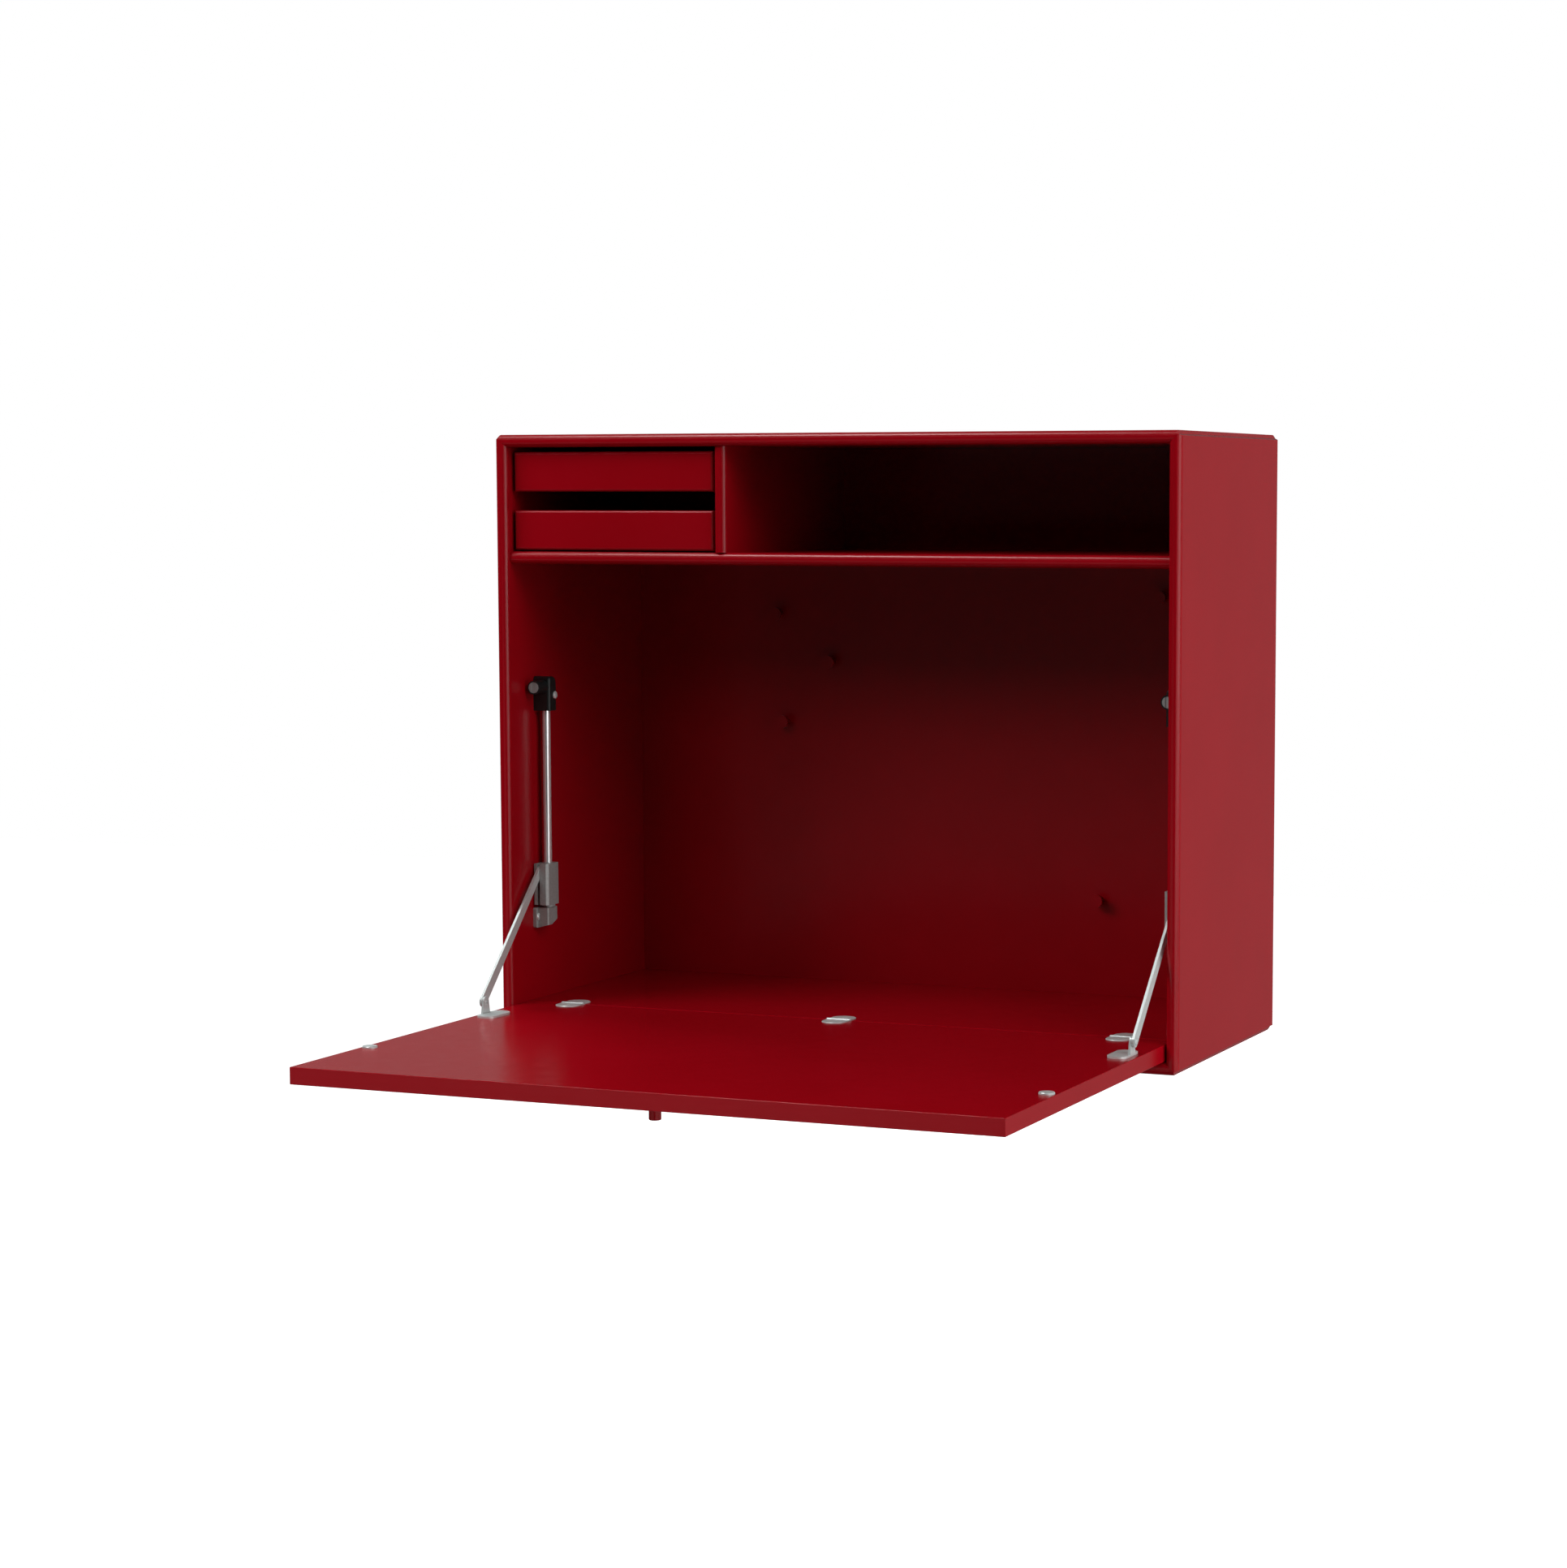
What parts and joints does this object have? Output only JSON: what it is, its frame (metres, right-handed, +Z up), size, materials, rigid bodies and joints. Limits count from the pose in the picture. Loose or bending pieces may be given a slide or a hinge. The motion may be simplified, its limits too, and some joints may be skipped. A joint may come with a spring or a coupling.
{
  "type": "fold down wall desk",
  "caption": "Wall-hung lacquered cabinet whose flap folds down on sliding stays into a desk, with shallow trays, an open shelf and a magnetic back.",
  "frame": {"origin": "centre of the line of wall screws in the wall batten, on the wall plane behind the cabinet", "axes": "+X to the viewer's right, +Y into the wall, +Z up"},
  "size_m": [0.696, 0.697, 0.5851],
  "materials": {
    "red_lacquer": "satin lacquer",
    "red_steel": "satin paint",
    "bare_batten": "bare plywood",
    "nickel_steel": "nickel plated",
    "chrome_rod": "polished",
    "zinc_casting": "satin die-cast",
    "black_plastic": "satin moulded"
  },
  "bodies": {
    "cabinet": {"top_panel": "red_lacquer", "bottom_panel": "red_lacquer", "left_side_panel": "red_lacquer", "right_side_panel": "red_lacquer", "back_panel": "red_lacquer", "magnetic_sheet": "red_steel", "inner_floor": "red_lacquer", "shelf": "red_lacquer", "divider": "red_lacquer", "tray_runners": "red_lacquer", "hanging_batten": "bare_batten", "wall_batten": "bare_batten", "floor_hinge_leaves": "nickel_steel", "floor_hinge_screws": "nickel_steel", "hinge_pins": "nickel_steel", "left_guide_rod": "chrome_rod", "right_guide_rod": "chrome_rod", "left_stay_head": "black_plastic", "right_stay_head": "black_plastic", "left_catch_magnet": "zinc_casting", "right_catch_magnet": "zinc_casting", "left_end_block": "zinc_casting", "right_end_block": "zinc_casting", "stay_screws": "nickel_steel"},
    "flap": {"flap_panel": "red_lacquer", "flap_hinge_leaves": "nickel_steel", "flap_hinge_screws": "nickel_steel", "knob": "red_lacquer", "knob_stud": "nickel_steel", "strike_discs": "nickel_steel", "left_foot_bracket": "nickel_steel", "right_foot_bracket": "nickel_steel", "foot_screws": "nickel_steel", "foot_rivets": "nickel_steel"},
    "left_arm": {"left_arm": "nickel_steel"},
    "right_arm": {"right_arm": "nickel_steel"},
    "left_slider": {"left_slider": "zinc_casting", "left_slider_pin": "zinc_casting"},
    "right_slider": {"right_slider": "zinc_casting", "right_slider_pin": "zinc_casting"},
    "upper_tray": {"upper_tray_front": "red_lacquer", "upper_tray_sides": "red_lacquer", "upper_tray_back": "red_lacquer", "upper_tray_bottom": "red_lacquer"},
    "lower_tray": {"lower_tray_front": "red_lacquer", "lower_tray_sides": "red_lacquer", "lower_tray_back": "red_lacquer", "lower_tray_bottom": "red_lacquer"},
    "peg_magnet_one": {"peg_magnet_one": "red_steel"},
    "peg_magnet_two": {"peg_magnet_two": "red_steel"},
    "peg_magnet_three": {"peg_magnet_three": "red_steel"},
    "peg_magnet_four": {"peg_magnet_four": "red_steel"},
    "peg_magnet_five": {"peg_magnet_five": "red_steel"}
  },
  "joints": [
    {"name": "flap_hinge", "type": "hinge", "parent": "cabinet", "child": "flap", "pos_m": [0, -0.27, -0.482], "axis": [-1, 0, 0], "range_deg": [0, 90]},
    {"name": "left_arm_pivot", "type": "hinge", "parent": "flap", "child": "left_arm", "pos_m": [0, -0.367, -0.469], "axis": [-1, 0, 0], "range_deg": [-133.5, 0]},
    {"name": "left_slider_slide", "type": "slide", "parent": "cabinet", "child": "left_slider", "axis": [0, 0, 1], "range_m": [0, 0.1317]},
    {"name": "right_arm_pivot", "type": "hinge", "parent": "flap", "child": "right_arm", "pos_m": [0, -0.367, -0.469], "axis": [-1, 0, 0], "range_deg": [-133.5, 0]},
    {"name": "right_slider_slide", "type": "slide", "parent": "cabinet", "child": "right_slider", "axis": [0, 0, 1], "range_m": [0, 0.1317]},
    {"name": "upper_tray_slide", "type": "slide", "parent": "cabinet", "child": "upper_tray", "axis": [0, -1, 0], "range_m": [0, 0.19]},
    {"name": "lower_tray_slide", "type": "slide", "parent": "cabinet", "child": "lower_tray", "axis": [0, -1, 0], "range_m": [0, 0.19]},
    {"name": "peg_magnet_one_lift", "type": "slide", "parent": "cabinet", "child": "peg_magnet_one", "axis": [0, -1, 0], "range_m": [0, 0.04]},
    {"name": "peg_magnet_two_lift", "type": "slide", "parent": "cabinet", "child": "peg_magnet_two", "axis": [0, -1, 0], "range_m": [0, 0.04]},
    {"name": "peg_magnet_three_lift", "type": "slide", "parent": "cabinet", "child": "peg_magnet_three", "axis": [0, -1, 0], "range_m": [0, 0.04]},
    {"name": "peg_magnet_four_lift", "type": "slide", "parent": "cabinet", "child": "peg_magnet_four", "axis": [0, -1, 0], "range_m": [0, 0.04]},
    {"name": "peg_magnet_five_lift", "type": "slide", "parent": "cabinet", "child": "peg_magnet_five", "axis": [0, -1, 0], "range_m": [0, 0.04]}
  ],
  "couplings": [
    {"joint": "left_arm_pivot", "follows": "flap_hinge", "ratio": -1.4804},
    {"joint": "left_slider_slide", "follows": "flap_hinge", "m_per_rad": 0.083752},
    {"joint": "right_arm_pivot", "follows": "flap_hinge", "ratio": -1.4804},
    {"joint": "right_slider_slide", "follows": "flap_hinge", "m_per_rad": 0.083752}
  ]
}
